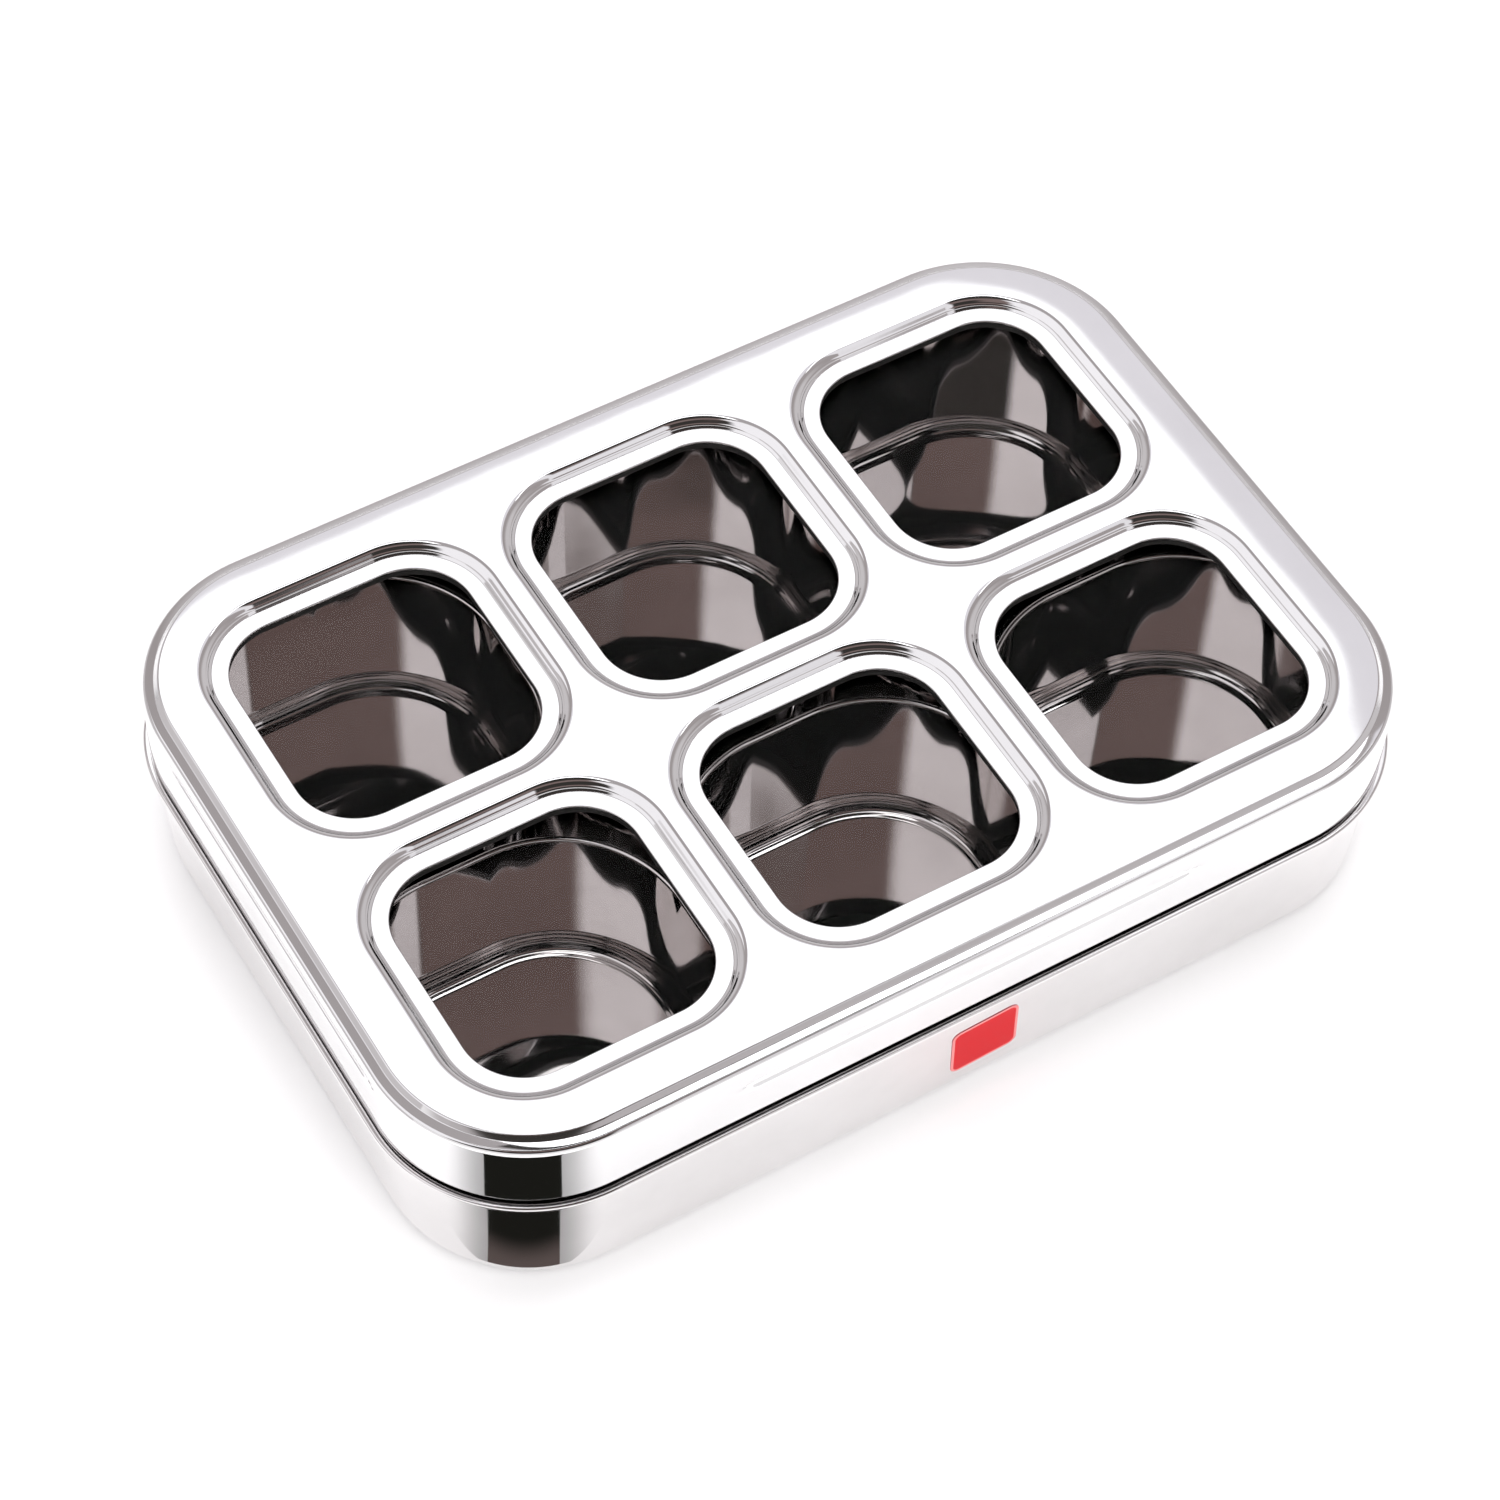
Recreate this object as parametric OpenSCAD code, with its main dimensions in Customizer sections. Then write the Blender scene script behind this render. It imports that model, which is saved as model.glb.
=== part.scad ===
// Spice box with a see-through lid: a pressed steel box, six lift-out cups and a windowed lid.
// Millimetres, +Z up. The origin is the middle of the underside; X runs along the long side.

/* [Lid] */
// Length of the lid over its skirt
lid_l = 257.8; // [214:0.1:310]
// Width of the lid over its skirt
lid_w = 178.6; // [148:0.1:215]
// Plan radius of the lid's corners, at the skirt
corner_r = 38; // [31:0.5:46]
// Thickness of the lid's steel
lid_t = 0.6; // [0.4:0.05:0.8]
// Height of the skirt, from its lip to the ledge above it
skirt_h = 19.3; // [17:0.1:24]
// Radius where the skirt turns into the ledge
edge_r = 1.5; // [1.2:0.1:2.2]
// Width of the ledge round the top
ledge_w = 1.3; // [0.8:0.1:2]
// How far the ledge falls towards the skirt
ledge_drop = 0.3; // [0:0.05:0.5]
// Width of the slope from the ledge up to the raised top
step_w = 1.1; // [0.8:0.1:2]
// Height of the raised top over the ledge
step_h = 1.1; // [0.6:0.1:1.6]
// Height of the doubled hem along the lip
hem_h = 1.2; // [0.8:0.1:2]
// Extra thickness of the hem
hem_t = 0.4; // [0.2:0.05:0.6]

/* [Windows] */
// Plan radius of a window's corners
window_r = 15; // [8:0.5:18]
// Width of the flat ring round each window
ring_w = 3.8; // [2.5:0.1:5]
// Width of the rounded shoulder outside the ring
shoulder_w = 3.55; // [2:0.05:4.5]
// Depth of the ring below the raised top
recess_d = 2.2; // [1.2:0.1:3]
// Width of the raised bar between two shoulders along the length
bar_x = 3.5; // [2:0.1:8]
// Width of the raised bar between two shoulders across the width
bar_y = 3.1; // [2:0.1:8]
// Width of the raised top past the end shoulders
margin_x = 9.45; // [6:0.05:14]
// Width of the raised top past the front and back shoulders
margin_y = 9.15; // [6:0.05:14]
// Height of a window's black seal
seal_h = 2.2; // [1.4:0.1:3]
// Width of a window's black seal
seal_w = 3.2; // [2:0.1:3.6]
// How far the seal stands back from the window's edge
seal_back = 0.15; // [0:0.05:0.6]
// Thickness of the clear sheet
sheet_t = 2; // [1.5:0.1:3]

/* [Grip ribs] */
// Height of a pressed-in rib on the skirt
rib_h = 3.2; // [2:0.1:4]
// Depth of a pressed-in rib
rib_d = 0.9; // [0.5:0.05:1]
// Drop of the long sides' ribs below the window rings
rib_drop_long = 6.8; // [6.6:0.1:9]
// Drop of the short sides' ribs below the window rings
rib_drop_short = 4; // [4:0.1:9]
// Plain skirt between a long rib's end and the corner
rib_inset_long = 32; // [10:1:40]
// Plain skirt between a short rib's end and the corner
rib_inset_short = 1.5; // [1:0.5:14]

/* [Box] */
// Thickness of the box's steel
box_t = 0.7; // [0.5:0.05:0.9]
// Height of the underside of the bead that the lid comes down to
bead_z = 36.1; // [31:0.1:44]
// Height of the bead
bead_h = 1.6; // [1.4:0.1:2.4]
// How far the bead stands out past the lid's skirt
bead_out = 1.4; // [0.8:0.1:2.4]
// How far the wall below the bead stands back from the lid's skirt
wall_back = 0.5; // [0.3:0.1:1]
// How much the wall draws in from the bead to the base
taper = 1.8; // [0.8:0.1:3]
// Outer radius between the wall and the base
base_r = 8; // [5:0.5:10]
// Width of the foot band round the underside
foot_w = 3; // [2:0.5:6]
// How far the floor panel is pressed up inside the foot band
panel_up = 2.6; // [1.5:0.1:4]

/* [Cups] */
// Height of a cup
cup_h = 41; // [34:0.5:48]
// Thickness of a cup's steel
cup_t = 0.6; // [0.4:0.05:0.8]
// Radius of the curl along a cup's rim
curl_r = 0.8; // [0.7:0.05:1.2]
// How much a cup's wall draws in from rim to floor
cup_taper = 0.6; // [0.2:0.1:2]
// Inner radius between a cup's wall and its floor
cup_fillet = 4; // [2:0.5:8]
// How far the middle front cup has slid towards the front wall
front_slip = 1.9; // [0:0.1:1.9]

/* [Sticker] */
// Width of the sticker
label_w = 17.4; // [12:0.2:26]
// Height of the sticker
label_h = 18; // [8:0.2:19]
// Thickness of the sticker
label_t = 0.15; // [0.1:0.05:0.3]
// Radius of the sticker's corners
label_r = 2.4; // [0.5:0.1:4]
// Place of the sticker's middle along the front wall
label_x = 5; // [-40:0.2:40]
// Height of the sticker's middle over the middle of the flat wall
label_z = -1.8; // [-3:0.1:3]
// Turn of the sticker in the wall's plane, in degrees
label_turn = 4; // [-15:1:15]

/* [Clearances] */
// Gap between the lid's skirt and the box's neck
neck_gap = 1.3; // [1.3:0.05:2]
// Seam between the lid's lip and the top of the bead
seam = 1.5; // [0.5:0.1:3]
// Gap between the clear sheet and the rim of the neck that it comes down on
rest_gap = 0.1; // [0.05:0.05:0.5]
// Gap between the clear sheet's edge and the grip ribs
sheet_gap = 0.3; // [0.1:0.05:0.6]
// Gap between the end cups and the box's end walls
end_gap = 1.9; // [1:0.1:4]
// Gap between the cups and the box's front and back walls
side_gap = 2.3; // [2.2:0.1:4]
// Gap between two cups along the length
cup_gap = 2.5; // [1:0.1:5]
// Gap between two cups across the width
row_gap = 6; // [1:0.1:10]
// Gap between a cup's corner radius and the box's inner corner
corner_gap = 2.5; // [1:0.1:6]
// Gap under a cup
cup_rest = 0.1; // [0.05:0.05:0.3]
// Least gap between a cup's rim and the clear sheet
rim_gap = 1; // [0.5:0.1:4]

/* [Hidden] */
$fn = 96;
arc_steps = 10;

// Windows, and cups, along the length and across the width
cols = 3;
rows = 2;

// Half sizes of the skirt, the raised top and one window
half_x = lid_l / 2;
half_y = lid_w / 2;
top_in = edge_r + ledge_w + step_w;
shoulder = ring_w + shoulder_w;
win_x = ((half_x - top_in - margin_x) - (cols - 1) * bar_x / 2) / cols - shoulder;
win_y = ((half_y - top_in - margin_y) - (rows - 1) * bar_y / 2) / rows - shoulder;
pitch_x = 2 * (win_x + shoulder) + bar_x;
pitch_y = 2 * (win_y + shoulder) + bar_y;

// Heights, from the bead up; cups too tall for the box lift the lid and the neck with it
cup_z = panel_up + box_t + cup_rest;
lip_to_sheet = skirt_h + step_h - recess_d - lid_t - seal_h - sheet_t;
lip_z = max(bead_z + bead_h + seam, cup_z + cup_h + rim_gap - lip_to_sheet);
ledge_z = lip_z + skirt_h;
top_z = ledge_z + step_h;
ring_z = top_z - recess_d;
seal_z = ring_z - lid_t - seal_h;
sheet_z = lip_z + lip_to_sheet;
neck_z = sheet_z - rest_gap;

// Box section, as offsets from the skirt's outline
neck_u = -lid_t - neck_gap;
foot_u = -wall_back - taper - base_r;
panel_u = foot_u - foot_w - panel_up;
floor_in = wall_back + taper + box_t;

// Cups
inner_x = half_x - floor_in;
inner_y = half_y - floor_in;
cup_x = (inner_x - end_gap - (cols - 1) * cup_gap / 2) / cols;
cup_y = (inner_y - side_gap - (rows - 1) * row_gap / 2) / rows;
cup_r = corner_r - floor_in - corner_gap;
cup_pitch_x = 2 * cup_x + cup_gap;
cup_pitch_y = 2 * cup_y + row_gap;
cup_in = 2 * curl_r;

// A pressed rib is a shallow slice of a round bar lying outside the skirt
rib_r = (rib_d * rib_d + rib_h * rib_h / 4) / (2 * rib_d);

col_names = ["left", "middle", "right"];
row_names = ["front", "back"];

// Place of column i or row j in a centred run with this pitch
function place(i, count, pitch) = (i - (count - 1) / 2) * pitch;

// Points of an arc or a quarter ellipse, from angle a to angle b
function arc(cx, cz, rx, rz, a, b) = [
  for (i = [0 : arc_steps])
    let (w = a + (b - a) * i / arc_steps)
    [cx + rx * cos(w), cz + rz * sin(w)]
];

// Sweeps a section, drawn as [distance outwards, height], round a rounded rectangle
module sweep_round(hx, hy, r) {
  for (k = [0 : 3]) {
    side = k % 2 == 0 ? [hx, hy] : [hy, hx];
    rotate([0, 0, 90 * k]) {
      translate([side[0], side[1] - r, 0])
        rotate([90, 0, 0])
          linear_extrude(2 * (side[1] - r)) children();
      translate([side[0] - r, side[1] - r, 0])
        rotate_extrude(angle = 90)
          translate([r, 0]) children();
    }
  }
}

// A flat block with rounded corners, standing on z = 0
module rounded_block(hx, hy, r, h) {
  translate([-hx, -(hy - r), 0]) cube([2 * hx, 2 * (hy - r), h]);
  translate([-(hx - r), -hy, 0]) cube([2 * (hx - r), 2 * hy, h]);
  for (sx = [-1, 1], sy = [-1, 1])
    translate([sx * (hx - r), sy * (hy - r), 0]) cylinder(r = r, h = h);
}

// A round bar with ball ends, lying along X
module bar(len, r) {
  translate([-len / 2, 0, 0]) rotate([0, 90, 0]) cylinder(r = r, h = len);
  for (s = [-1, 1]) translate([s * len / 2, 0, 0]) sphere(r = r);
}

// Turns to each side's frame: the skirt is at y = -half, with X along it
module each_side() {
  for (k = [0 : 3]) {
    long = k % 2 == 0;
    half = long ? half_y : half_x;
    run = long ? half_x : half_y;
    inset = long ? rib_inset_long : rib_inset_short;
    drop = long ? rib_drop_long : rib_drop_short;
    $rib_len = 2 * (run - corner_r - inset - rib_h / 2);
    $rib_half = half;
    rotate([0, 0, 90 * k])
      translate([0, -(half + rib_r - rib_d), ring_z - drop])
        children();
  }
}

// Section of the lid's rim: hem, skirt, ledge and the step up to the raised top
module lid_section() {
  edge_z = ledge_z - ledge_drop - edge_r;
  polygon(concat(
    [[-lid_t - hem_t, lip_z], [0, lip_z]],
    arc(-edge_r, edge_z, edge_r, edge_r, 0, 90),
    [[-edge_r - ledge_w, ledge_z], [-top_in, top_z], [-top_in, top_z - lid_t]],
    [[-edge_r - ledge_w, ledge_z - lid_t]],
    arc(-edge_r, edge_z, edge_r - lid_t, edge_r - lid_t, 90, 0),
    [[-lid_t, lip_z + hem_h + hem_t], [-lid_t - hem_t, lip_z + hem_h]]
  ));
}

// Section of one window's rim: flat ring and rounded shoulder
module window_section() {
  polygon(concat(
    [[0, ring_z - lid_t], [ring_w + lid_t, ring_z - lid_t]],
    arc(shoulder, ring_z, shoulder_w - lid_t, recess_d - lid_t, 180, 90),
    arc(shoulder, ring_z, shoulder_w, recess_d, 90, 180),
    [[0, ring_z]]
  ));
}

module lid_shell() {
  color("gainsboro")
    difference() {
      union() {
        sweep_round(half_x, half_y, corner_r) lid_section();
        difference() {
          translate([0, 0, top_z - lid_t])
            rounded_block(half_x - top_in, half_y - top_in, corner_r - top_in, lid_t);
          for (i = [0 : cols - 1], j = [0 : rows - 1])
            translate([place(i, cols, pitch_x), place(j, rows, pitch_y), top_z - lid_t - 1])
              rounded_block(win_x + shoulder, win_y + shoulder, window_r + shoulder, lid_t + 2);
        }
        for (i = [0 : cols - 1], j = [0 : rows - 1])
          translate([place(i, cols, pitch_x), place(j, rows, pitch_y), 0])
            sweep_round(win_x, win_y, window_r) window_section();
        each_side()
          intersection() {
            bar($rib_len, rib_r + lid_t);
            translate([-$rib_len, rib_r - rib_d + lid_t / 2, -rib_h])
              cube([2 * $rib_len, 2 * rib_d, 2 * rib_h]);
          }
      }
      each_side() bar($rib_len, rib_r);
    }
}

// One clear sheet closes all the windows from below
module window_sheet() {
  edge = lid_t + rib_d + sheet_gap;
  color("lightblue", 0.4)
    translate([0, 0, sheet_z])
      rounded_block(half_x - edge, half_y - edge, corner_r - edge, sheet_t);
}

// The black seal between one window's ring and the clear sheet
module seal(i, j) {
  color("black")
    translate([place(i, cols, pitch_x), place(j, rows, pitch_y), seal_z])
      sweep_round(win_x, win_y, window_r)
        translate([seal_back, 0]) square([seal_w, seal_h]);
}

// Section of the box: neck, bead, drawn-in wall, base radius, foot band and panel step
module box_section() {
  nose = bead_h / 2;
  wall_z = bead_z - wall_back - nose;
  inner_r = base_r - box_t;
  polygon(concat(
    [[neck_u - box_t, neck_z], [neck_u, neck_z], [neck_u, bead_z + bead_h]],
    arc(bead_out - nose, bead_z + nose, nose, nose, 90, -90),
    [[-wall_back, bead_z], [-wall_back, wall_z]],
    arc(foot_u, base_r, base_r, base_r, 0, -90),
    [[foot_u - foot_w, 0], [panel_u, panel_up], [panel_u, panel_up + box_t]],
    [[foot_u - foot_w, box_t]],
    arc(foot_u, base_r, inner_r, inner_r, -90, 0),
    [[-wall_back - box_t, wall_z], [neck_u - box_t, bead_z + nose]]
  ));
}

module box_shell() {
  color("silver") {
    sweep_round(half_x, half_y, corner_r) box_section();
    translate([0, 0, panel_up])
      rounded_block(half_x + panel_u, half_y + panel_u, corner_r + panel_u, box_t);
  }
}

// Section of a cup: curled rim, drawn-in wall and floor fillet
module cup_section() {
  out_r = cup_fillet + cup_t;
  foot = -cup_in - cup_taper - cup_fillet;
  top = cup_h - curl_r;
  union() {
    translate([-curl_r, top]) circle(r = curl_r);
    polygon(concat(
      [[-cup_in, top], [-cup_in + cup_t, top]],
      arc(foot, out_r, out_r, out_r, 0, -90),
      arc(foot, out_r, cup_fillet, cup_fillet, -90, 0)
    ));
  }
}

module cup(i, j) {
  foot_in = cup_in + cup_taper + cup_fillet;
  slip = i == 1 && j == 0 ? front_slip : 0;
  color("lightgray")
    translate([place(i, cols, cup_pitch_x), place(j, rows, cup_pitch_y) - slip, cup_z]) {
      sweep_round(cup_x, cup_y, cup_r) cup_section();
      rounded_block(cup_x - foot_in, cup_y - foot_in, cup_r - foot_in, cup_t);
    }
}

// A plain sticker on the front wall, lying on the wall's slope
module label() {
  wall_z = bead_z - wall_back - bead_h / 2;
  run = wall_z - base_r;
  lean = atan(taper / run);
  wall_y = half_y - wall_back - taper * (0.5 - label_z / run);
  color("crimson")
    translate([label_x, -wall_y, (wall_z + base_r) / 2 + label_z])
      rotate([90 + lean, 0, 0])
        rotate([0, 0, label_turn])
          rounded_block(label_w / 2, label_h / 2, label_r, label_t);
}

box_shell();
label();
lid_shell();
window_sheet();
for (i = [0 : 2], j = [0 : 1]) {
  seal(i, j);
  cup(i, j);
}
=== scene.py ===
import math
import bmesh
import bpy
from mathutils import Matrix, Vector


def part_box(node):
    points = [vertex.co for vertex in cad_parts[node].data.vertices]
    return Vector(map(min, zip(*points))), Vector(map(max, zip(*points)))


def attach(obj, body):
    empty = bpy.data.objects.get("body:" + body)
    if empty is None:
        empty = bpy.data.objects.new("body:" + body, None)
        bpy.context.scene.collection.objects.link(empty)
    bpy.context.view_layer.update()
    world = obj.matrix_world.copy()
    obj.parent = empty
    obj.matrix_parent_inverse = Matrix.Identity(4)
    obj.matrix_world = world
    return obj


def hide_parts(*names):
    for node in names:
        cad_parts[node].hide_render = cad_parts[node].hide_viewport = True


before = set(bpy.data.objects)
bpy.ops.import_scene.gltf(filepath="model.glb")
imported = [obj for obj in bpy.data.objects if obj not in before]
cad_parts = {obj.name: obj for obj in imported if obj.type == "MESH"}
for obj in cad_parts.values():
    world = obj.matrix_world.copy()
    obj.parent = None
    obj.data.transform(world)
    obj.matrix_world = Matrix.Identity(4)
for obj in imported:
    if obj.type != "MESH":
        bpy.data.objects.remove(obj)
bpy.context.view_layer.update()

mm = 0.001
scene = bpy.context.scene
lidLow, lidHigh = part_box("lid_shell")
boxLow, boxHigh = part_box("box_shell")
lidTop = lidHigh.z
places = [(row, column) for row in ("front", "back") for column in ("left", "middle", "right")]
print("frame loaded")


cameraPlace = {
    "azimuth": -32.343, "elevation": 53.469, "roll": 2.275,
    "distance": 0.98290, "lens": 105.18,
    "aimX": -14.9 * mm, "aimY": -16.2 * mm, "aimBelowTop": 2.2 * mm,
    "sensor": 36, "near": 0.01, "far": 50,
}


def makeCamera(place):
    az, el, roll = (math.radians(place[k]) for k in ("azimuth", "elevation", "roll"))
    back = Vector((math.sin(az) * math.cos(el), -math.cos(az) * math.cos(el), math.sin(el)))
    right = (-back).cross(Vector((0, 0, 1))).normalized()
    up = right.cross(-back)
    right, up = right * math.cos(roll) + up * math.sin(roll), up * math.cos(roll) - right * math.sin(roll)
    aim = Vector((place["aimX"], place["aimY"], lidTop - place["aimBelowTop"]))
    data = bpy.data.cameras.new("camera")
    data.lens, data.sensor_width = place["lens"], place["sensor"]
    data.clip_start, data.clip_end = place["near"], place["far"]
    camera = bpy.data.objects.new("camera", data)
    turn = Matrix((right, up, back)).transposed().to_4x4()
    camera.matrix_world = Matrix.Translation(aim + back * place["distance"]) @ turn
    scene.collection.objects.link(camera)
    scene.camera = camera


makeCamera(cameraPlace)


class Wire:
    def __init__(self, graph, socket):
        self.graph, self.socket = graph, socket

    def __add__(self, other):
        return self.graph.math("ADD", self, other)

    def __radd__(self, other):
        return self.graph.math("ADD", other, self)

    def __sub__(self, other):
        return self.graph.math("SUBTRACT", self, other)

    def __rsub__(self, other):
        return self.graph.math("SUBTRACT", other, self)

    def __mul__(self, other):
        return self.graph.math("MULTIPLY", self, other)

    def __rmul__(self, other):
        return self.graph.math("MULTIPLY", other, self)

    def __truediv__(self, other):
        return self.graph.math("DIVIDE", self, other)

    def __lt__(self, other):
        return self.graph.math("LESS_THAN", self, other)


class Graph:
    def __init__(self, tree):
        self.tree = tree
        tree.nodes.clear()

    def node(self, kind, settings=None, inputs=None, out=0):
        made = self.tree.nodes.new("ShaderNode" + kind)
        for key, value in (settings or {}).items():
            if key == "stops":
                ramp = made.color_ramp
                while len(ramp.elements) < len(value):
                    ramp.elements.new(0.5)
                for element, (at, colour) in zip(ramp.elements, value):
                    element.position, element.color = at, (*colour, 1)
            else:
                setattr(made, key, value)
        for key, value in (inputs or {}).items():
            if isinstance(value, Wire):
                self.tree.links.new(value.socket, made.inputs[key])
            else:
                made.inputs[key].default_value = value
        return Wire(self, made.outputs[out]) if made.outputs else made

    def math(self, operation, *values):
        return self.node("Math", {"operation": operation}, dict(enumerate(values)))

    def smooth(self, value, start, end):
        return self.node("MapRange", {"interpolation_type": "SMOOTHSTEP"}, {0: value, 1: start, 2: end})

    def band(self, value, low, high, soft):
        rise = self.smooth(value, low - soft, low + soft)
        return rise * (1 - self.smooth(value, high - soft, high + soft))

    def split(self, vector):
        first = self.node("SeparateXYZ", inputs={0: vector})
        return [Wire(self, out) for out in first.socket.node.outputs]

    def inset(self, x, y, halfX, halfY, radius):          # distance in from a rounded rectangle
        overX = self.math("ABSOLUTE", x) - (halfX - radius)
        overY = self.math("ABSOLUTE", y) - (halfY - radius)
        cornerX, cornerY = self.math("MAXIMUM", overX, 0), self.math("MAXIMUM", overY, 0)
        beyond = self.math("SQRT", cornerX * cornerX + cornerY * cornerY)
        return radius - beyond - self.math("MINIMUM", self.math("MAXIMUM", overX, overY), 0)

    def mixColour(self, factor, a, b):
        return self.node("Mix", {"data_type": "RGBA"}, {0: factor, 6: a, 7: b}, out=2)


def material(name):
    made = bpy.data.materials.new(name)
    made.use_nodes = True
    return made, Graph(made.node_tree)


steelLook = {          # wave and grain are heights, and squeeze packs the grain closer along an axis
    "lid": {"tone": (0.83, 0.825, 0.83), "smudge": (0.79, 0.785, 0.79), "rough": 0.04, "roughMore": 0.03,
            "wave": 0.10 * mm, "waveScale": 26, "grain": 0.0008 * mm, "squeeze": (1, 1, 1)},
    "box": {"tone": (0.80, 0.785, 0.785), "smudge": (0.75, 0.735, 0.735), "rough": 0.06, "roughMore": 0.05,
            "wave": 0.10 * mm, "waveScale": 20, "grain": 0.0008 * mm, "squeeze": (1, 1, 4)},
    # painted shade: the cups' steel is set darker and warmer than the lid's, standing in for the shade and
    # brown reflections inside the cups
    "cup": {"tone": (0.70, 0.665, 0.655), "smudge": (0.64, 0.605, 0.595), "rough": 0.025, "roughMore": 0.03,
            "wave": 0.06 * mm, "waveScale": 40, "grain": 0.00016 * mm, "squeeze": (1, 1, 12)},
}
steelPattern = {
    "smudgeScale": 38, "smudgeFrom": 0.35, "smudgeTo": 0.68, "grainScale": 900, "grainRough": 0.02,
}
crown = {"slope": 0.060, "reach": 12 * mm}          # how the top falls away towards the lid's edge


def steelMaterial(name, look):
    made, g = material(name)
    pattern = steelPattern
    place = g.node("TexCoord", out=3)
    soft = g.node("TexNoise", inputs={
        "Vector": place, "Scale": pattern["smudgeScale"], "Detail": 5, "Roughness": 0.6})
    blot = g.node("MapRange", inputs={"Value": soft, 1: pattern["smudgeFrom"], 2: pattern["smudgeTo"]})
    long = g.node("Mapping", inputs={"Vector": place, "Scale": look["squeeze"]})
    fine = g.node("TexNoise", inputs={
        "Vector": long, "Scale": pattern["grainScale"], "Detail": 3, "Roughness": 0.7})
    wave = g.node("TexNoise", inputs={"Vector": place, "Scale": look["waveScale"], "Detail": 1.5})
    height = wave * look["wave"] + fine * look["grain"]
    if name == "lidSteel":
        x, y, _ = g.split(place)
        inset = g.inset(x, y, lidHigh.x, lidHigh.y, lidShape["corner"])
        fall = g.math("MAXIMUM", crown["reach"] - inset, 0)
        height = height - fall * fall * (crown["slope"] / crown["reach"] / 2)
    bump = g.node("Bump", inputs={"Strength": 1.0, "Distance": 1.0, "Height": height})
    rough = blot * look["roughMore"] + (fine - 0.5) * pattern["grainRough"] + look["rough"]
    tone = g.mixColour(blot, (*look["tone"], 1), (*look["smudge"], 1))
    shine = g.node("BsdfPrincipled", inputs={
        "Base Color": tone, "Metallic": 1.0, "Roughness": rough, "Normal": bump})
    g.node("OutputMaterial", inputs={"Surface": shine})
    return made


sealLook = {"tone": (0.008, 0.008, 0.008), "worn": (0.022, 0.021, 0.020), "rough": 0.38, "roughMore": 0.25,
            "grainScale": 700, "grain": 0.05 * mm}


def sealMaterial(look):
    made, g = material("blackSilicone")
    place = g.node("TexCoord", out=3)
    grain = g.node("TexNoise", inputs={"Vector": place, "Scale": look["grainScale"], "Detail": 4})
    tone = g.mixColour(grain, (*look["tone"], 1), (*look["worn"], 1))
    bump = g.node("Bump", inputs={"Strength": 0.3, "Distance": look["grain"], "Height": grain})
    shine = g.node("BsdfPrincipled", inputs={
        "Base Color": tone, "Roughness": grain * look["roughMore"] + look["rough"], "Normal": bump})
    g.node("OutputMaterial", inputs={"Surface": shine})
    return made


clearLook = {"tone": (0.985, 0.99, 0.992), "haze": (0.965, 0.972, 0.975), "hazeScale": 60, "bend": 1.1}


def clearMaterial(look):
    made, g = material("clearAcrylic")
    place = g.node("TexCoord", out=3)
    haze = g.node("TexNoise", inputs={"Vector": place, "Scale": look["hazeScale"], "Detail": 3})
    tone = g.mixColour(haze, (*look["tone"], 1), (*look["haze"], 1))
    shine = g.node("BsdfPrincipled", inputs={
        "Base Color": tone, "Roughness": 0.0, "IOR": look["bend"], "Transmission Weight": 1.0})
    g.node("OutputMaterial", inputs={"Surface": shine})
    return made


def arc(cx, cz, rx, rz, start, end, steps=10):
    turns = [math.radians(start + (end - start) * k / steps) for k in range(steps + 1)]
    return [(cx + rx * math.cos(a), cz + rz * math.sin(a)) for a in turns]


def rounded(corners, steps=6):          # corners are (u, z) or (u, z, radius)
    path = []
    for i, corner in enumerate(corners):
        here = Vector(corner[:2])
        if len(corner) == 2 or i in (0, len(corners) - 1):
            path.append(tuple(here))
            continue
        before = (Vector(corners[i - 1][:2]) - here).normalized()
        after = (Vector(corners[i + 1][:2]) - here).normalized()
        half = before.angle(after) / 2
        reach = corner[2] / math.tan(half)
        middle = here + (before + after).normalized() * (corner[2] / math.sin(half))
        first, last = here + before * reach - middle, here + after * reach - middle
        sweep = first.angle_signed(last)
        for k in range(steps + 1):
            spin = Matrix.Rotation(-sweep * k / steps, 2)
            path.append(tuple(middle + spin @ first))
    return path


def outline(halfX, halfY, radius, middle=(0, 0), perCorner=20, gap=3 * mm):
    points = []
    for quarter, (sx, sy) in enumerate(((1, 1), (-1, 1), (-1, -1), (1, -1))):
        cx, cy = middle[0] + sx * (halfX - radius), middle[1] + sy * (halfY - radius)
        for k in range(perCorner + 1):
            a = math.radians(90 * (quarter + k / perCorner))
            nx, ny = math.cos(a), math.sin(a)
            points.append((cx + radius * nx, cy + radius * ny, nx, ny))
        run = 2 * ((halfX - radius) if quarter in (0, 2) else (halfY - radius))
        count = max(1, round(run / gap))
        x, y, nx, ny = points[-1]
        for k in range(1, count):
            points.append((x - ny * run * k / count, y + nx * run * k / count, nx, ny))
    return points


def ring(mesh, around, u, z, press=None):
    verts = []
    for x, y, nx, ny in around:
        inward = press(x, y, nx, ny, z) if press else 0
        verts.append(mesh.verts.new((x + nx * (u - inward), y + ny * (u - inward), z)))
    return verts


def bridge(mesh, a, b):
    count = len(a)
    for i in range(count):
        j = (i + 1) % count
        mesh.faces.new((a[i], a[j], b[j], b[i]))


def strip(mesh, around, path, closed=False, press=None):
    rings = [ring(mesh, around, u, z, press) for u, z in path]
    for a, b in zip(rings, rings[1:]):
        bridge(mesh, a, b)
    if closed:
        bridge(mesh, rings[-1], rings[0])
    return rings


def fill(mesh, loops):          # a flat face between closed loops of edges
    edges = [mesh.edges.get(pair) for loop in loops for pair in zip(loop, loop[1:] + loop[:1])]
    bmesh.ops.triangle_fill(mesh, use_beauty=True, edges=edges, normal=(0, 0, 1))


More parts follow.
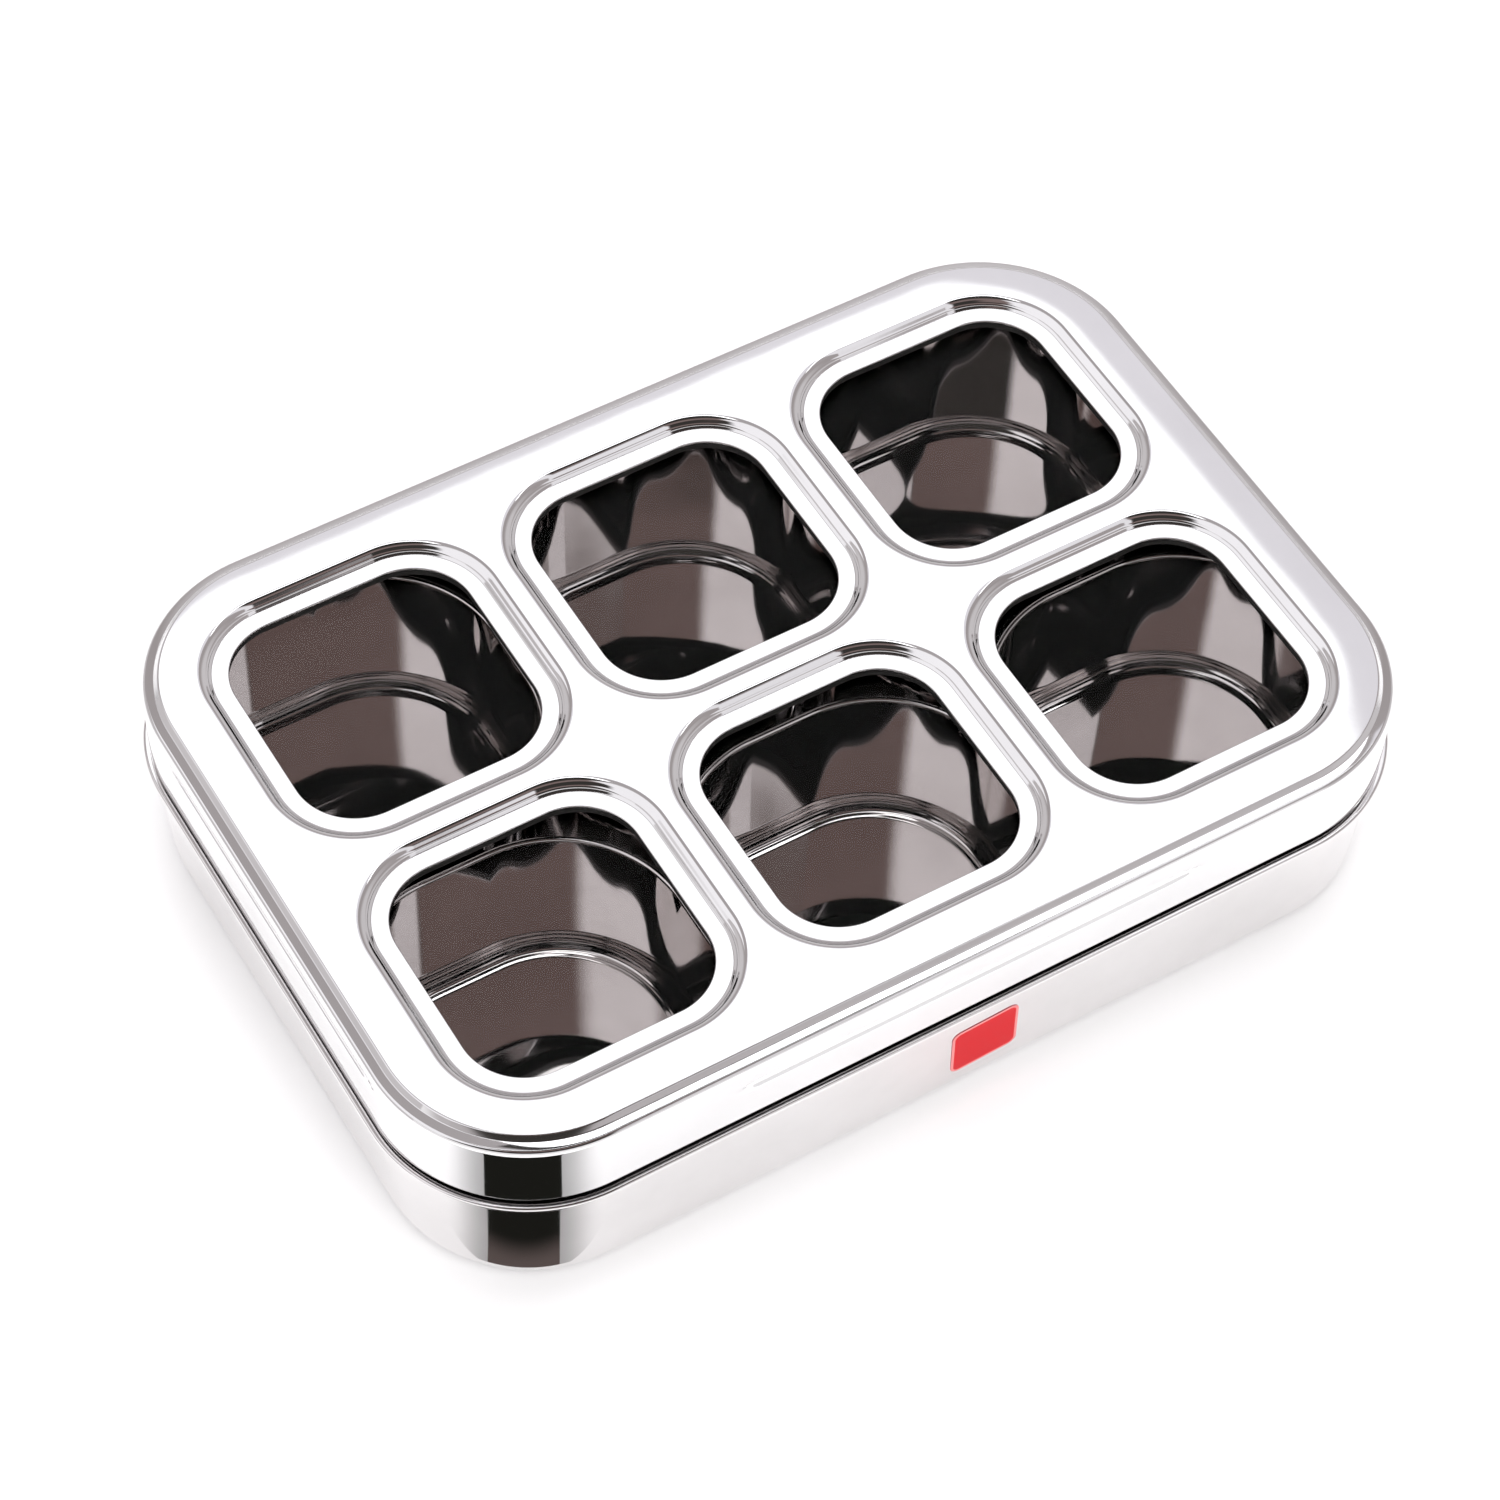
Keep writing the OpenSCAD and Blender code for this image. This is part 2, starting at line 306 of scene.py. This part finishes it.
def piece(name, mesh, look, body, slot, *nodes):
    bmesh.ops.recalc_face_normals(mesh, faces=mesh.faces)
    data = bpy.data.meshes.new(name)
    mesh.to_mesh(data)
    mesh.free()
    data.polygons.foreach_set("use_smooth", [True] * len(data.polygons))
    data.materials.append(look)
    made = bpy.data.objects.new(name, data)
    scene.collection.objects.link(made)
    weigh = made.modifiers.new("evenNormals", "WEIGHTED_NORMAL")
    weigh.mode, weigh.weight = "FACE_AREA", 50
    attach(made, body)
    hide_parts(*nodes)


lidShape = {
    "steel": 0.6 * mm, "corner": 38 * mm, "edge": 1.5 * mm, "edgeTurn": 77, "ledge": 1.3 * mm,
    "ledgeDrop": 0.3 * mm, "ledgeRound": 0.4 * mm, "stepWide": 1.1 * mm, "stepHigh": 1.1 * mm,
    "stepRound": 0.7 * mm, "underRound": 0.3 * mm, "flat": 1.2 * mm, "flatMore": 0.4 * mm,
    "windowFlat": 1 * mm, "wallStart": 2 * mm, "underTurn": 176,
    "hemHigh": 1.2 * mm, "hemThick": 0.4 * mm, "hemRound": 0.35 * mm, "hemEdge": 0.2 * mm,
    "recess": 2.2 * mm, "ringWide": 3.8 * mm, "shoulder": 3.55 * mm, "windowRadius": 15 * mm,
    "shoulderIn": 0.95 * mm, "shoulderRound": 2.8 * mm, "ringMore": 0.2 * mm, "ringRound": 0.5 * mm,
    "holeRound": 0.25 * mm, "holeUnder": 0.2 * mm, "sealBack": 0.15 * mm,
}
ribShape = {
    "high": 3.2 * mm, "deep": 0.9 * mm, "bluntEnd": 2 * mm, "longEnd": 10 * mm,
    "longDrop": 6.8 * mm, "shortDrop": 4 * mm, "longHalf": 58.5 * mm, "shortHalf": 50 * mm,
    "rowGap": 0.28 * mm, "rowStart": 1 * mm, "rowCount": 53, "rowReach": 9.4 * mm, "rowStop": 0.1 * mm,
}
sealShape = {
    "wide": 3.2 * mm, "waist": 0.25 * mm, "waistRound": 0.6 * mm,
    "lipRound": 0.3 * mm, "edgeRound": 0.2 * mm,
}

lidHalfX, lidHalfY = lidHigh.x, lidHigh.y
ringZ = lidTop - lidShape["recess"]
shoulderOut = lidShape["ringWide"] + lidShape["shoulder"]


def windowBox(row, column):
    low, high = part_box(f"seal_{row}_{column}")
    return (low + high) / 2, (high - low) / 2


_, sealHalf = windowBox("front", "left")
sealOut = sealShape["wide"] + lidShape["sealBack"]
windowHalfX, windowHalfY = sealHalf.x - sealOut, sealHalf.y - sealOut


def ribPress(x, y, nx, ny, z):          # how far a rib presses the skirt in at a point
    r = ribShape
    straight = 0.999
    if abs(ny) > straight:
        along, half, drop = x, r["longHalf"], r["longDrop"]
    elif abs(nx) > straight:
        along, half, drop = y, r["shortHalf"], r["shortDrop"]
    else:
        return 0
    left = (half - abs(along)) / r["bluntEnd" if along < 0 else "longEnd"]
    if left <= 0:
        return 0
    share = math.sqrt(1 - (1 - min(1, left)) ** 2)
    t = (z - (ringZ - drop)) / (r["high"] / 2 * share)
    return r["deep"] * share * (1 - t * t) if abs(t) < 1 else 0


def lidSections():          # skirt, ledge and step as points (out, up), on both sides of the steel
    s, r = lidShape, ribShape
    lip, ledgeZ = lidLow.z, lidTop - s["stepHigh"]
    edgeZ = ledgeZ - s["ledgeDrop"]
    ledgeU = -s["edge"] - s["ledge"]
    stepU = ledgeU - s["stepWide"]
    underZ, underEdge = lidTop - s["steel"], s["edge"] - s["steel"]
    start = lip + s["hemHigh"] + r["rowStart"]
    rows = [start + k * r["rowGap"] for k in range(r["rowCount"])]
    rows = [z for z in rows if ringZ - r["rowReach"] < z < edgeZ - s["edge"] - r["rowStop"]]
    outside = rounded([(-s["steel"], lip), (0, lip, s["hemRound"]), (0, lip + s["wallStart"])])
    outside += [(0, z) for z in rows]
    outside += arc(-s["edge"], edgeZ - s["edge"], s["edge"], s["edge"], 0, s["edgeTurn"], 14)[:-1]
    outside += rounded([
        (-s["edge"] * 1.1, edgeZ), (ledgeU, ledgeZ, s["ledgeRound"]), (stepU, lidTop, s["stepRound"]),
        (stepU - s["flat"], lidTop), (stepU - s["flat"] - s["flatMore"], lidTop)], 8)
    inside = rounded([
        (stepU - s["flat"], underZ), (stepU, underZ, s["underRound"]),
        (ledgeU, ledgeZ - s["steel"], s["underRound"]), (-s["edge"], edgeZ - s["steel"])])[:-1]
    inside += arc(-s["edge"], edgeZ - s["edge"], underEdge, underEdge, 90, 0)
    inside += [(-s["steel"], z) for z in reversed(rows)]
    hemU = -s["steel"] - s["hemThick"]
    inside += [
        (-s["steel"], lip + s["hemHigh"] + s["hemThick"]), (hemU, lip + s["hemHigh"]),
        (hemU, lip + s["hemEdge"]), (hemU + s["hemEdge"], lip)]
    return outside, inside


def windowSection():          # from the top down to the ring, round the edge of the hole and back under
    s = lidShape
    under, ringEnd = ringZ - s["steel"], s["ringWide"] + s["steel"]
    path = rounded([
        (shoulderOut + s["windowFlat"] + s["flatMore"], lidTop),
        (shoulderOut - s["shoulderIn"], lidTop, s["shoulderRound"]),
        (s["ringWide"] + s["ringMore"], ringZ, s["ringRound"]), (0, ringZ, s["holeRound"]),
        (0, under, s["holeUnder"]), (ringEnd, under, s["holeUnder"]), (ringEnd, ringZ)], 5)
    path.insert(1, (shoulderOut + s["windowFlat"], lidTop))
    wide, high = s["shoulder"] - s["steel"], s["recess"] - s["steel"]
    return path + arc(shoulderOut, ringZ, wide, high, s["underTurn"], 90)


def makeLid():
    outside, inside = lidSections()
    windowPath = windowSection()
    mesh = bmesh.new()
    around = outline(lidHalfX, lidHalfY, lidShape["corner"], perCorner=32, gap=1.5 * mm)
    over = strip(mesh, around, outside, press=ribPress)
    under = strip(mesh, around, inside, press=ribPress)
    bridge(mesh, under[-1], over[0])
    topLoops, lowLoops = [over[-1]], [under[0]]
    for row, column in places:
        middle, _ = windowBox(row, column)
        radius = lidShape["windowRadius"]
        hole = outline(windowHalfX, windowHalfY, radius, middle, perCorner=24, gap=6 * mm)
        rings = strip(mesh, hole, windowPath)
        topLoops.append(rings[0])
        lowLoops.append(rings[-1])
    fill(mesh, topLoops)
    fill(mesh, lowLoops)
    piece("lid", mesh, looks["lid"], "lid", "lid_steel", "lid_shell")


sheetShape = {"round": 0.3 * mm, "flat": 2 * mm}


def makeSheet():
    s = sheetShape
    low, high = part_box("window_sheet")
    mesh = bmesh.new()
    around = outline(high.x, high.y, lidShape["corner"] - (lidHalfX - high.x), perCorner=16, gap=20 * mm)
    path = rounded([
        (-s["flat"], high.z), (0, high.z, s["round"]), (0, low.z, s["round"]), (-s["flat"], low.z)], 3)
    rings = strip(mesh, around, path)
    fill(mesh, [rings[0]])
    fill(mesh, [rings[-1]])
    piece("clearSheet", mesh, looks["clear"], "lid", "clear_sheet", "window_sheet")


def makeSeals():
    s = sealShape
    wide = s["wide"]
    for row, column in places:
        low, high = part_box(f"seal_{row}_{column}")
        middle, half = (low + high) / 2, (high - low) / 2
        mesh = bmesh.new()
        around = outline(half.x, half.y, lidShape["windowRadius"] + sealOut, middle, gap=10 * mm)
        path = rounded([
            (-wide / 2, high.z), (-wide, high.z, s["lipRound"]),
            (-wide + s["waist"], middle.z, s["waistRound"]), (-wide, low.z, s["lipRound"]),
            (0, low.z, s["edgeRound"]), (0, high.z, s["edgeRound"]), (-wide / 2, high.z)], 4)
        strip(mesh, around, path[:-1], closed=True)
        piece(f"seal.{row}.{column}", mesh, looks["seal"], "lid", "black_seal", f"seal_{row}_{column}")


boxShape = {
    "steel": 0.7 * mm, "neckIn": 1.9 * mm, "beadZ": 36.1 * mm, "beadHigh": 1.6 * mm, "beadOut": 1.4 * mm,
    "wallBack": 0.5 * mm, "taper": 1.8 * mm, "base": 8 * mm, "foot": 3 * mm, "panelUp": 2.6 * mm,
    "panelFlat": 3 * mm, "round": 0.3 * mm, "panelRound": 0.8 * mm, "neckRound": 1 * mm,
    "wallTopIn": 0.05 * mm,
}


def makeBox():
    s = boxShape
    steel, base, small, large = s["steel"], s["base"], s["round"], s["panelRound"]
    nose, neck, top = s["beadHigh"] / 2, -s["neckIn"], boxHigh.z
    beadTop, beadU = s["beadZ"] + s["beadHigh"], s["beadOut"] - nose
    wallTop = s["beadZ"] - s["wallBack"] - nose
    footU = -s["wallBack"] - s["taper"] - base
    bandU = footU - s["foot"]
    panelU = bandU - s["panelUp"]
    middleU = panelU - s["panelFlat"]
    outside = rounded([
        (neck - steel / 2, top), (neck, top, small), (neck, beadTop, small), (beadU, beadTop)])[:-1]
    outside += arc(beadU, s["beadZ"] + nose, nose, nose, 90, -90, 12)[:-1]
    outside += rounded([
        (beadU, s["beadZ"]), (-s["wallBack"], s["beadZ"], small),
        (-s["wallBack"] - s["wallTopIn"], wallTop), (-s["wallBack"] - s["taper"], base)])[:-1]
    outside += arc(footU, base, base, base, 0, -90, 24)[:-1]
    outside += rounded([
        (footU, 0), (bandU, 0, large), (panelU, s["panelUp"], large), (middleU, s["panelUp"])])
    floor = s["panelUp"] + steel
    inside = rounded([(middleU, floor), (panelU, floor, large), (bandU, steel, large), (footU, steel)])[:-1]
    inside += arc(footU, base, base - steel, base - steel, -90, 0, 16)
    inside += rounded([
        (-s["wallBack"] - steel, wallTop), (neck - steel, s["beadZ"] + nose, s["neckRound"]),
        (neck - steel, top, small), (neck - steel / 2, top)])
    mesh = bmesh.new()
    around = outline(lidHalfX, lidHalfY, lidShape["corner"], perCorner=36, gap=6 * mm)
    over = strip(mesh, around, outside)
    under = strip(mesh, around, inside[:-1])
    bridge(mesh, under[-1], over[0])
    fill(mesh, [over[-1]])
    fill(mesh, [under[0]])
    piece("boxTray", mesh, looks["box"], "box", "box_steel", "box_shell")


cupShape = {
    "steel": 0.6 * mm, "corner": 32.5 * mm, "curl": 0.8 * mm, "taper": 0.6 * mm, "fillet": 4 * mm,
    "floorFlat": 4 * mm, "ridges": 3, "ridgeHigh": 0.05 * mm, "filletSteps": 36,
}


def cupSection(bottom, top):
    s = cupShape
    curl, fillet, steel, steps = s["curl"], s["fillet"], s["steel"], s["filletSteps"]
    floor = bottom + steel
    wallU = -2 * curl
    footU = wallU - s["taper"] - fillet
    path = [(footU - s["floorFlat"], floor)]
    for k in range(steps + 1):
        a = math.radians(-90 + 90 * k / steps)
        reach = fillet - s["ridgeHigh"] * (1 - math.cos(2 * math.pi * s["ridges"] * k / steps))
        path.append((footU + reach * math.cos(a), floor + fillet + reach * math.sin(a)))
    path += arc(-curl, top - curl, curl, curl, 180, -90, 20)
    path += [(wallU + steel, top - 2 * curl), (wallU - s["taper"] + steel, floor + fillet)]
    path += arc(footU, floor + fillet, fillet + steel, fillet + steel, 0, -90, 12)[1:]
    return path + [(footU - s["floorFlat"], bottom)]


def makeCups():
    for row, column in places:
        name = f"cup_{row}_{column}"
        low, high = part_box(name)
        middle, half = (low + high) / 2, (high - low) / 2
        mesh = bmesh.new()
        around = outline(half.x, half.y, cupShape["corner"], middle, perCorner=36, gap=4 * mm)
        rings = strip(mesh, around, cupSection(low.z, high.z))
        fill(mesh, [rings[0]])
        fill(mesh, [rings[-1]])
        piece(f"cup.{row}.{column}", mesh, looks["cup"], name, "cup_steel", name)


labelShape = {
    "wide": 17.4 * mm, "high": 18 * mm, "thick": 0.15 * mm, "radius": 2.4 * mm, "turn": 4, "lean": 3.92,
    "bevel": 0.05 * mm, "bevelFrom": 0.7, "border": 0.7 * mm,
    "red": (0.62, 0.006, 0.012), "worn": (0.92, 0.8, 0.8), "edge": (0.78, 0.26, 0.26),
    "rough": 0.28, "roughMore": 0.1, "grainScale": 120, "gloss": 0.06,
}


def makeLabel():
    s = labelShape
    low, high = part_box("label")
    middle = (low + high) / 2
    mesh = bmesh.new()
    around = outline(s["wide"] / 2, s["high"] / 2, s["radius"], perCorner=10, gap=30 * mm)
    path = [(-s["border"], 0), (0, 0), (0, s["thick"] * s["bevelFrom"]), (-s["bevel"], s["thick"])]
    path += [(-s["border"], s["thick"])]
    rings = strip(mesh, around, path)
    fill(mesh, [rings[0]])
    fill(mesh, [rings[-1]])
    upright = Matrix.Rotation(math.radians(90 + s["lean"]), 4, "X")
    turn = Matrix.Rotation(math.radians(s["turn"]), 4, "Z")
    place = Matrix.Translation((middle.x, middle.y + s["thick"] / 2, middle.z)) @ upright @ turn
    uv = mesh.loops.layers.uv.new("flat")
    for face in mesh.faces:
        for loop in face.loops:
            loop[uv].uv = (loop.vert.co.x / s["wide"] + 0.5, loop.vert.co.y / s["high"] + 0.5)
    bmesh.ops.transform(mesh, matrix=place, verts=mesh.verts)
    piece("sticker", mesh, looks["label"], "box", "sticker", "label")


def labelMaterial(s):
    made, g = material("stickerFilm")
    flat = g.node("UVMap", {"uv_map": "flat"})
    x, y, _ = g.split(flat)
    x, y = (x - 0.5) * s["wide"], (y - 0.5) * s["high"]
    rim = g.inset(x, y, s["wide"] / 2, s["high"] / 2, s["radius"]) < s["border"]
    grain = g.node("TexNoise", inputs={"Vector": flat, "Scale": s["grainScale"], "Detail": 3})
    worn = [full * share for full, share in zip(s["red"], s["worn"])]
    tone = g.mixColour(rim, g.mixColour(grain, (*s["red"], 1), (*worn, 1)), (*s["edge"], 1))
    shine = g.node("BsdfPrincipled", inputs={
        "Base Color": tone, "Roughness": grain * s["roughMore"] + s["rough"],
        "Specular IOR Level": s["gloss"]})
    g.node("OutputMaterial", inputs={"Surface": shine})
    return made


# the room that the steel shows: a direction has slopes x and y away from straight up, and a height z,
# and across is its slope to the side of straight to the front
studio = {
    "floor": {"tone": (0.95, 0.95, 0.95), "size": 4, "rough": 0.9, "gloss": 0.1,
              "grainScale": 8, "worn": 0.99},
    "lamps": {"back": {"power": 9, "size": 1.5, "at": (0.2, 0.4, 1.3)},
              "front": {"power": 12, "size": 1.2, "at": (-0.3, -0.8, 1.0)}},
    "cards": {
        "wideBox": {"x": (-0.02, 0.88), "y": (0.10, 1.05), "soft": 0.03, "light": (0.86, 0.835, 0.88)},
        "sideBox": {"x": (-2.2, -0.48), "y": (-0.5, 1.3), "soft": 0.08, "light": (1.08, 1.06, 1.09)},
        "lineBox": {"x": (-0.3, 0.9), "y": (-0.10, 0.02), "soft": 0.01, "light": (2.6, 2.6, 2.65)},
        "softbox": {"x": (0.02, 0.575), "y": (0.12, 0.84), "soft": 0.012, "light": (1.4, 1.4, 1.43)},
    },
    "backdrop": [(0.0, (0.66, 0.63, 0.64)), (0.30, (0.66, 0.63, 0.64)), (0.55, (0.40, 0.365, 0.365)),
                 (1.0, (0.46, 0.43, 0.435))],
    "nearSide": (0.12, 0.07),
    "nearLow": {"z": (0.33, 0.38), "across": (0.45, 0.65), "light": (1.0, 0.98, 0.99)},
    "stripe": {"x": (0.405, 0.61), "soft": 0.02, "light": (0.92, 0.90, 0.93)},
    "dark": {"across": (-3.4, 0.31), "soft": 0.03, "x": (0.35, 0.41), "z": (0.44, 1.1), "softZ": 0.012,
             "light": (0.042, 0.038, 0.035)},
    "brown": {"z": (0.742, 0.872), "light": (0.225, 0.168, 0.160)},
}
paintedReflectionShape = {          # a glowing card on the floor before the near corner, that only the steel shows: a painted dark reflection, browner near the box's foot
    "near": -1.5 * mm, "far": 54 * mm, "half": 9.8 * mm, "spread": 0.448, "azimuth": -32.3, "up": 0.4 * mm,
    "margin": 3.3, "edge": (0.985, 1.015), "flank": (0.9, 3.2), "flankCover": 0.75,
    "fade": (0.5 * mm, 7.5 * mm),
    "foot": (0.115, 0.09, 0.085), "dark": (0.012, 0.012, 0.010), "beside": (0.28, 0.275, 0.275),
}


def floorMaterial(s):
    made, g = material("paleFloor")
    place = g.node("TexCoord", out=3)
    grain = g.node("TexNoise", inputs={"Vector": place, "Scale": s["grainScale"], "Detail": 2})
    colour = g.mixColour(grain, (*s["tone"], 1), (*(c * s["worn"] for c in s["tone"]), 1))
    shine = g.node("BsdfPrincipled", inputs={
        "Base Color": colour, "Roughness": s["rough"], "Specular IOR Level": s["gloss"]})
    g.node("OutputMaterial", inputs={"Surface": shine})
    return made


def paintedReflectionMaterial(s):
    made, g = material("paintedReflectionCard")
    x, y, _ = g.split(g.node("TexCoord", out=3))
    away = y - lidShape["corner"]
    share = g.math("ABSOLUTE", x) / (away * s["spread"] + s["half"])
    core = 1 - g.smooth(share, *s["edge"])
    flank = 1 - g.smooth(share, *s["flank"])
    # painted reflection: brownish at the box's foot, fading out to near black, with grey beside the dark
    # core
    tone = g.mixColour(g.smooth(away, *s["fade"]), (*s["foot"], 1), (*s["dark"], 1))
    tone = g.mixColour(core, (*s["beside"], 1), tone)
    card = g.node("BsdfPrincipled", inputs={
        "Base Color": (0, 0, 0, 1), "Roughness": 1.0, "Specular IOR Level": 0.0,
        "Emission Color": tone, "Emission Strength": 1.0})
    clear = g.node("BsdfTransparent")
    cover = g.math("MAXIMUM", core, flank * flank * s["flankCover"])
    mixed = g.node("MixShader", inputs={0: cover, 1: clear, 2: card})
    g.node("OutputMaterial", inputs={"Surface": mixed})
    return made


def stagePiece(name, points, look):
    data = bpy.data.meshes.new(name)
    data.from_pydata(points, [], [range(len(points))])
    data.materials.append(look)
    made = bpy.data.objects.new(name, data)
    scene.collection.objects.link(made)
    return made


def makeWorld(s):
    world = bpy.data.worlds.new("softRoom")
    world.use_nodes = True
    scene.world = world
    g = Graph(world.node_tree)
    least = 0.02          # keeps the divisions finite
    x, y, z = g.split(g.node("TexCoord", out=0))
    up = g.math("MAXIMUM", z, least)
    overX, overY = x / up, y / up
    tone = g.node("ValToRGB", {"stops": s["backdrop"]}, {0: z})
    near = g.smooth(overY, *s["nearSide"])
    across = x / g.math("MAXIMUM", 0 - y, least)
    low, stripe, dark, brown = s["nearLow"], s["stripe"], s["dark"], s["brown"]
    lowNear = near * (1 - g.smooth(z, *low["z"])) * (1 - g.smooth(across, *low["across"]))
    tone = g.mixColour(lowNear, tone, (*low["light"], 1))
    above = near * g.band(z, *dark["z"], dark["softZ"])
    tone = g.mixColour(above * g.band(overX, *stripe["x"], stripe["soft"]), tone, (*stripe["light"], 1))
    left = g.math("MAXIMUM", g.band(across, *dark["across"], dark["soft"]), 1 - g.smooth(overX, *dark["x"]))
    left = left * g.smooth(across, dark["across"][0] - dark["soft"], dark["across"][0])
    tone = g.mixColour(above * left, tone, (*dark["light"], 1))
    tone = g.mixColour(above * left * g.band(z, *brown["z"], dark["softZ"]), tone, (*brown["light"], 1))
    for card in s["cards"].values():
        inside = g.band(overX, *card["x"], card["soft"]) * g.band(overY, *card["y"], card["soft"])
        tone = g.mixColour(inside, tone, (*card["light"], 1))
    sky = g.node("Background", inputs={"Color": tone, "Strength": 1.0})
    g.node("OutputWorld", inputs={"Surface": sky})


def hideFrom(made, *rays):
    for ray in rays:
        setattr(made, f"visible_{ray}", False)


def makeLamp(name, lamp):
    data = bpy.data.lights.new(name, "AREA")
    data.shape, data.size, data.energy = "DISK", lamp["size"], lamp["power"]
    made = bpy.data.objects.new(name, data)
    made.location = lamp["at"]
    made.rotation_euler = Vector(lamp["at"]).to_track_quat("Z", "Y").to_euler()
    hideFrom(made, "camera", "glossy", "transmission")
    scene.collection.objects.link(made)


def makePaintedReflection(s):
    corner = lidShape["corner"]
    points = []
    for side, away in ((-1, s["near"]), (1, s["near"]), (1, s["far"]), (-1, s["far"])):
        points.append((side * s["margin"] * (s["half"] + s["spread"] * away), corner + away, s["up"]))
    made = stagePiece("paintedReflectionCard", points, paintedReflectionMaterial(s))
    made.location = (-(lidHalfX - corner), -(lidHalfY - corner), 0)
    made.rotation_euler = (0, 0, math.radians(180 + s["azimuth"]))
    # hidden from the camera, diffuse light and shadows, so the card only paints a reflection into the steel
    hideFrom(made, "camera", "diffuse", "shadow")


def makeStudio():
    scene.view_settings.view_transform = "Standard"
    makeWorld(studio)
    size = studio["floor"]["size"]
    points = [(-size, -size, 0), (size, -size, 0), (size, size, 0), (-size, size, 0)]
    stagePiece("floor", points, floorMaterial(studio["floor"]))
    for name, lamp in studio["lamps"].items():
        makeLamp(f"{name}Lamp", lamp)
    makePaintedReflection(paintedReflectionShape)


looks = {
    "lid": steelMaterial("lidSteel", steelLook["lid"]),
    "box": steelMaterial("boxSteel", steelLook["box"]),
    "cup": steelMaterial("cupSteel", steelLook["cup"]),
    "clear": clearMaterial(clearLook),
    "seal": sealMaterial(sealLook),
    "label": labelMaterial(labelShape),
}
print("materials made")
makeBox()
makeCups()
makeLid()
makeSheet()
makeSeals()
makeLabel()
print("pieces made")
makeStudio()
print("studio made")
